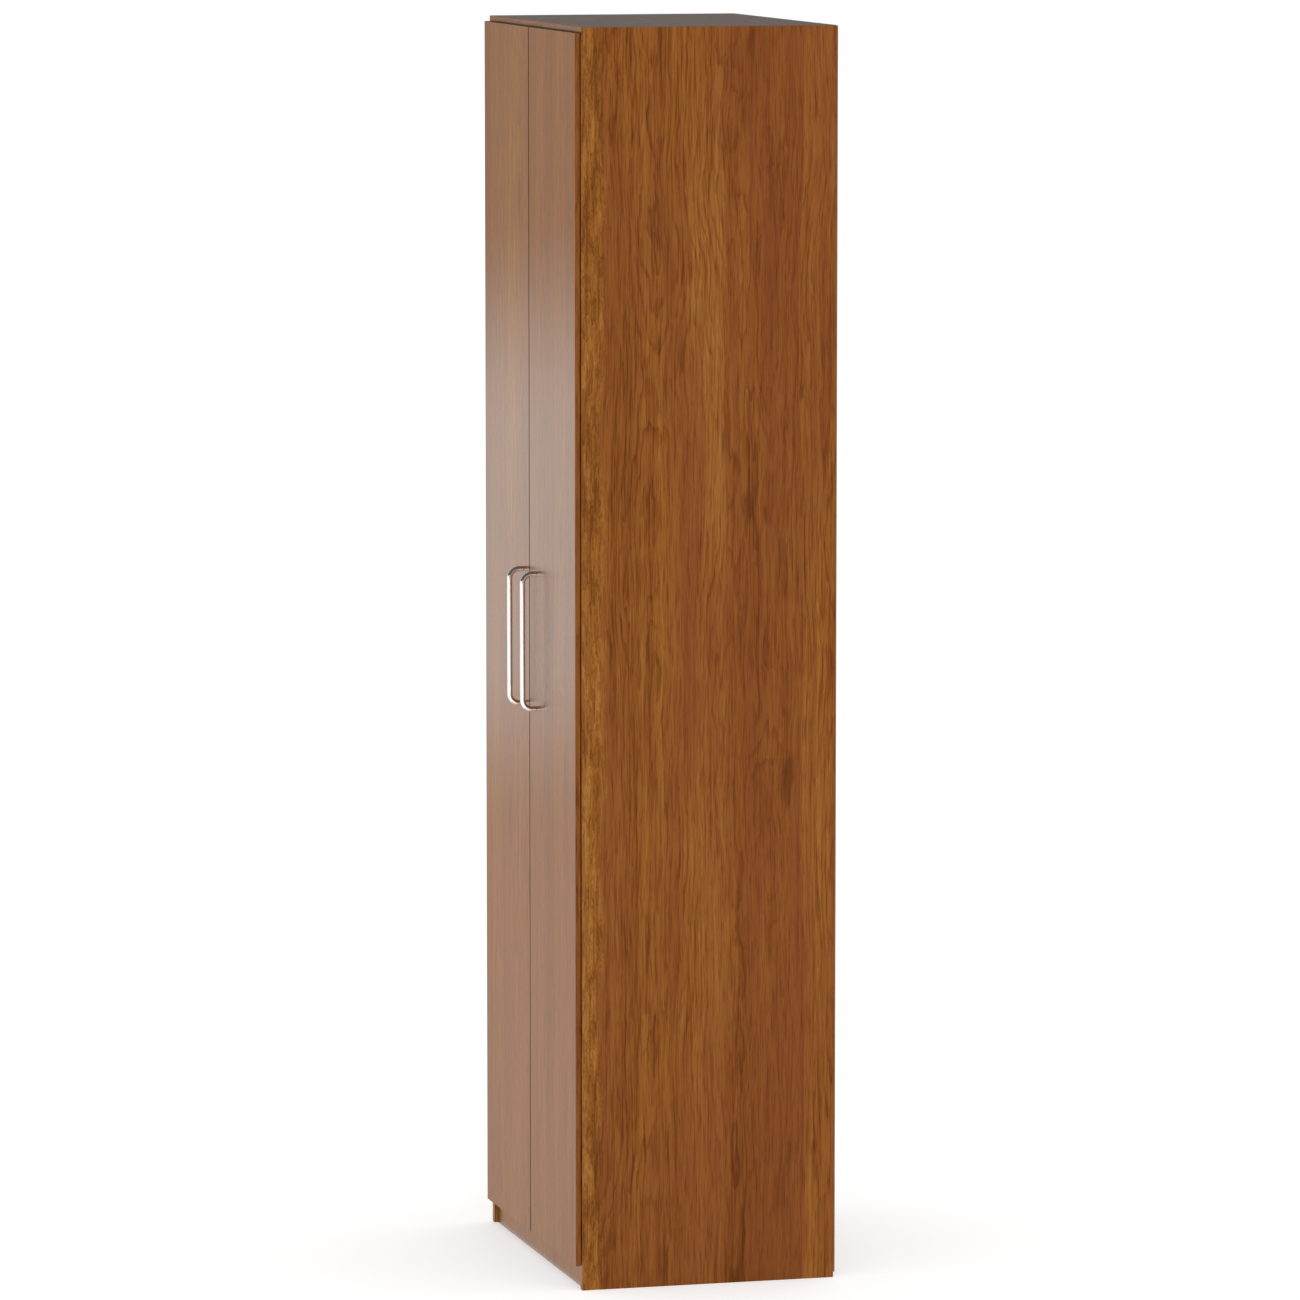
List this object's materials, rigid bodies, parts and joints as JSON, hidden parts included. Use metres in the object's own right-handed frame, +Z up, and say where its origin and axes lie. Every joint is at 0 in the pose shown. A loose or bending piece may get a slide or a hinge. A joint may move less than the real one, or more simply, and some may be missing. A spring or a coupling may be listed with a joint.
{
  "type": "wardrobe",
  "caption": "Tall narrow two-door wardrobe in wood-grain laminate, with overlay doors on concealed hinges, bow handles, shelves and a hanging rail.",
  "frame": {"origin": "middle of the overall box at floor level", "axes": "+Z up, +X to the right seen from the front, +Y from the doors to the back"},
  "size_m": [0.7, 0.533, 2.35],
  "materials": {
    "laminate": "satin wood-grain laminate, grain upright",
    "door_laminate": "glossy wood-grain laminate, grain upright",
    "back_board": "thin printed fibreboard",
    "chrome": "polished",
    "nickel": "nickel plated",
    "zinc": "zinc plated"
  },
  "bodies": {
    "carcass": {"left_side_panel": "laminate", "right_side_panel": "laminate", "top_panel": "laminate", "bottom_panel": "laminate", "back_panel": "back_board", "front_plinth": "laminate", "rear_plinth": "laminate", "hat_shelf": "laminate", "shoe_shelf": "laminate", "hanging_rail": "chrome", "left_rail_socket": "nickel", "right_rail_socket": "nickel", "left_hinge_1_plate": "nickel", "left_hinge_1_arm": "nickel", "left_hinge_2_plate": "nickel", "left_hinge_2_arm": "nickel", "left_hinge_3_plate": "nickel", "left_hinge_3_arm": "nickel", "left_hinge_4_plate": "nickel", "left_hinge_4_arm": "nickel", "right_hinge_1_plate": "nickel", "right_hinge_1_arm": "nickel", "right_hinge_2_plate": "nickel", "right_hinge_2_arm": "nickel", "right_hinge_3_plate": "nickel", "right_hinge_3_arm": "nickel", "right_hinge_4_plate": "nickel", "right_hinge_4_arm": "nickel"},
    "left_outer_links": {"left_hinge_1_outer_link": "zinc", "left_hinge_2_outer_link": "zinc", "left_hinge_3_outer_link": "zinc", "left_hinge_4_outer_link": "zinc"},
    "left_inner_links": {"left_hinge_1_inner_link": "zinc", "left_hinge_2_inner_link": "zinc", "left_hinge_3_inner_link": "zinc", "left_hinge_4_inner_link": "zinc"},
    "left_door": {"left_door": "door_laminate", "left_handle": "chrome", "left_handle_lower_screw": "zinc", "left_handle_upper_screw": "zinc", "left_hinge_1_cup": "nickel", "left_hinge_2_cup": "nickel", "left_hinge_3_cup": "nickel", "left_hinge_4_cup": "nickel"},
    "right_outer_links": {"right_hinge_1_outer_link": "zinc", "right_hinge_2_outer_link": "zinc", "right_hinge_3_outer_link": "zinc", "right_hinge_4_outer_link": "zinc"},
    "right_inner_links": {"right_hinge_1_inner_link": "zinc", "right_hinge_2_inner_link": "zinc", "right_hinge_3_inner_link": "zinc", "right_hinge_4_inner_link": "zinc"},
    "right_door": {"right_door": "door_laminate", "right_handle": "chrome", "right_handle_lower_screw": "zinc", "right_handle_upper_screw": "zinc", "right_hinge_1_cup": "nickel", "right_hinge_2_cup": "nickel", "right_hinge_3_cup": "nickel", "right_hinge_4_cup": "nickel"}
  },
  "joints": [
    {"name": "left_door_swing", "type": "hinge", "parent": "left_outer_links", "child": "left_door", "pos_m": [-0.33349, -0.227, 0], "axis": [0, 0, -1], "range_deg": [0, 123.5]},
    {"name": "left_outer_link_turn", "type": "hinge", "parent": "carcass", "child": "left_outer_links", "pos_m": [-0.30606, -0.21766, 0], "axis": [0, 0, 1], "range_deg": [0, 28.5]},
    {"name": "left_inner_link_turn", "type": "hinge", "parent": "carcass", "child": "left_inner_links", "pos_m": [-0.30921, -0.229, 0], "axis": [0, 0, 1], "range_deg": [0, 46.55]},
    {"name": "right_door_swing", "type": "hinge", "parent": "right_outer_links", "child": "right_door", "pos_m": [0.33349, -0.227, 0], "axis": [0, 0, 1], "range_deg": [0, 123.5]},
    {"name": "right_outer_link_turn", "type": "hinge", "parent": "carcass", "child": "right_outer_links", "pos_m": [0.30606, -0.21766, 0], "axis": [0, 0, -1], "range_deg": [0, 28.5]},
    {"name": "right_inner_link_turn", "type": "hinge", "parent": "carcass", "child": "right_inner_links", "pos_m": [0.30921, -0.229, 0], "axis": [0, 0, -1], "range_deg": [0, 46.55]}
  ],
  "couplings": [
    {"joint": "left_outer_link_turn", "follows": "left_door_swing", "ratio": 0.23077},
    {"joint": "left_inner_link_turn", "follows": "left_door_swing", "ratio": 0.37692},
    {"joint": "right_outer_link_turn", "follows": "right_door_swing", "ratio": 0.23077},
    {"joint": "right_inner_link_turn", "follows": "right_door_swing", "ratio": 0.37692}
  ]
}
